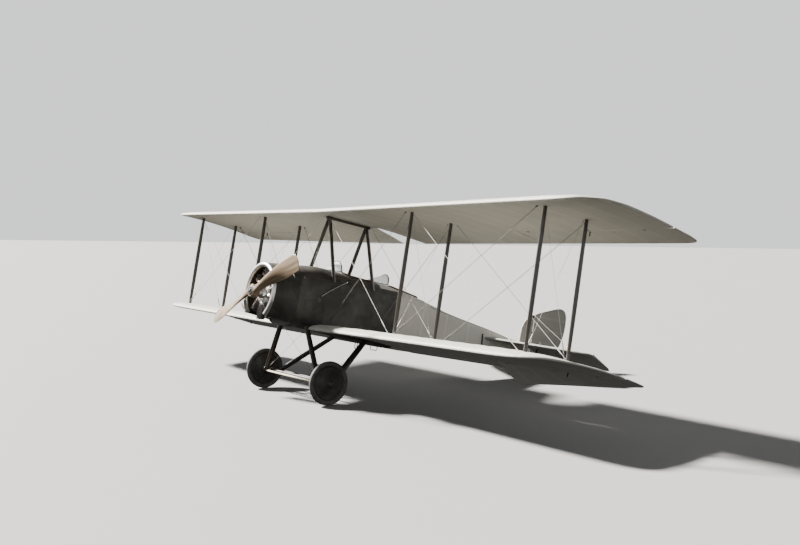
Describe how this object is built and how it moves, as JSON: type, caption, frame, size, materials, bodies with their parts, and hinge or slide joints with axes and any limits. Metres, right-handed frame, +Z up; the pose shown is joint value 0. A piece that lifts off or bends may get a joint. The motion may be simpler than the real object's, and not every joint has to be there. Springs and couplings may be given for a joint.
{
  "type": "biplane",
  "caption": "Two-seat, two-bay tractor biplane with a rotary engine in a horseshoe cowl, fixed two-wheel undercarriage and tail skid, parked tail down.",
  "frame": {"origin": "middle of the bounding box in plan, on the ground", "axes": "+X forward, +Y port (left), +Z up; the aircraft stands parked, about 11 degrees nose up"},
  "size_m": [6.751, 11.41, 2.9519],
  "materials": {
    "dark_fabric": "semi-gloss dark dope",
    "doped_linen": "clear-doped linen, satin",
    "dark_metal": "satin dark paint",
    "plywood": "varnished",
    "leather": "worn",
    "windscreen_glass": "clear",
    "dark_spruce": "dark varnish",
    "dark_steel": "satin",
    "stay_wire": "bright drawn wire",
    "tyre_rubber": "matt, sun-greyed",
    "dark_disc": "dark doped fabric disc",
    "engine_steel": "machined steel",
    "varnished_wood": "gloss varnish",
    "ash_wood": "oiled"
  },
  "bodies": {
    "airframe": {"fuselage_front": "dark_fabric", "fuselage_rear": "doped_linen", "decking_front": "dark_fabric", "decking_rear": "doped_linen", "cowl": "dark_metal", "firewall": "dark_metal", "cockpit_floor": "plywood", "seat_front": "leather", "seat_rear": "leather", "windscreen_front": "windscreen_glass", "windscreen_rear": "windscreen_glass", "cabane_ridge": "dark_spruce", "axle_frame": "dark_steel", "wing_upper_port": "doped_linen", "wing_lower_port": "doped_linen", "tailplane_port": "doped_linen", "cabane_front_port": "dark_spruce", "cabane_rear_port": "dark_spruce", "gear_leg_front_port": "dark_spruce", "gear_leg_rear_port": "dark_spruce", "strut_inner_front_port": "dark_spruce", "stays_front_inner_port": "stay_wire", "strut_inner_rear_port": "dark_spruce", "stays_rear_inner_port": "stay_wire", "strut_outer_front_port": "dark_spruce", "stays_front_outer_port": "stay_wire", "strut_outer_rear_port": "dark_spruce", "stays_rear_outer_port": "stay_wire", "wing_upper_starboard": "doped_linen", "wing_lower_starboard": "doped_linen", "tailplane_starboard": "doped_linen", "cabane_front_starboard": "dark_spruce", "cabane_rear_starboard": "dark_spruce", "gear_leg_front_starboard": "dark_spruce", "gear_leg_rear_starboard": "dark_spruce", "strut_inner_front_starboard": "dark_spruce", "stays_front_inner_starboard": "stay_wire", "strut_inner_rear_starboard": "dark_spruce", "stays_rear_inner_starboard": "stay_wire", "strut_outer_front_starboard": "dark_spruce", "stays_front_outer_starboard": "stay_wire", "strut_outer_rear_starboard": "dark_spruce", "stays_rear_outer_starboard": "stay_wire", "fin": "doped_linen", "tail_skid": "ash_wood"},
    "rotor": {"engine": "engine_steel", "propeller": "varnished_wood"},
    "wheel_port": {"tyre_port": "tyre_rubber", "wheel_disc_port": "dark_disc"},
    "wheel_starboard": {"tyre_starboard": "tyre_rubber", "wheel_disc_starboard": "dark_disc"},
    "aileron_upper_port": {"aileron_upper_port": "doped_linen"},
    "aileron_upper_starboard": {"aileron_upper_starboard": "doped_linen"},
    "aileron_lower_port": {"aileron_lower_port": "doped_linen"},
    "aileron_lower_starboard": {"aileron_lower_starboard": "doped_linen"},
    "elevator": {"elevator": "doped_linen"},
    "rudder": {"rudder": "doped_linen"}
  },
  "joints": [
    {"name": "propeller_turn", "type": "hinge", "parent": "airframe", "child": "rotor", "pos_m": [3.23734, 0, 1.64281], "axis": [0.9811, 0, 0.1935], "continuous": true},
    {"name": "wheel_port_turn", "type": "hinge", "parent": "airframe", "child": "wheel_port", "pos_m": [2.52493, 0.986, 0.325], "axis": [0, 1, 0], "continuous": true},
    {"name": "wheel_starboard_turn", "type": "hinge", "parent": "airframe", "child": "wheel_starboard", "pos_m": [2.52493, -0.986, 0.325], "axis": [0, 1, 0], "continuous": true},
    {"name": "aileron_upper_port_hinge", "type": "hinge", "parent": "airframe", "child": "aileron_upper_port", "pos_m": [0.74295, 4.4, 2.58425], "axis": [-0.0017, 1, 0.0086], "range_deg": [-20, 20]},
    {"name": "aileron_upper_starboard_hinge", "type": "hinge", "parent": "airframe", "child": "aileron_upper_starboard", "pos_m": [0.74295, -4.4, 2.58425], "axis": [0.0017, 1, -0.0086], "range_deg": [-20, 20]},
    {"name": "aileron_lower_port_hinge", "type": "hinge", "parent": "airframe", "child": "aileron_lower_port", "pos_m": [1.09367, 4.4, 0.80651], "axis": [-0.0017, 1, 0.0086], "range_deg": [-20, 20]},
    {"name": "aileron_lower_starboard_hinge", "type": "hinge", "parent": "airframe", "child": "aileron_lower_starboard", "pos_m": [1.09367, -4.4, 0.80651], "axis": [0.0017, 1, -0.0086], "range_deg": [-20, 20]},
    {"name": "elevator_hinge", "type": "hinge", "parent": "airframe", "child": "elevator", "pos_m": [-2.28472, 0, 0.51978], "axis": [0, 1, 0], "range_deg": [0, 50]},
    {"name": "rudder_hinge", "type": "hinge", "parent": "airframe", "child": "rudder", "pos_m": [-2.48593, 0, 0.67171], "axis": [-0.1935, 0, 0.9811], "range_deg": [-30, 30]}
  ],
  "couplings": [
    {"joint": "aileron_lower_port_hinge", "follows": "aileron_upper_port_hinge", "ratio": 1},
    {"joint": "aileron_upper_starboard_hinge", "follows": "aileron_upper_port_hinge", "ratio": -1},
    {"joint": "aileron_lower_starboard_hinge", "follows": "aileron_upper_port_hinge", "ratio": -1}
  ]
}
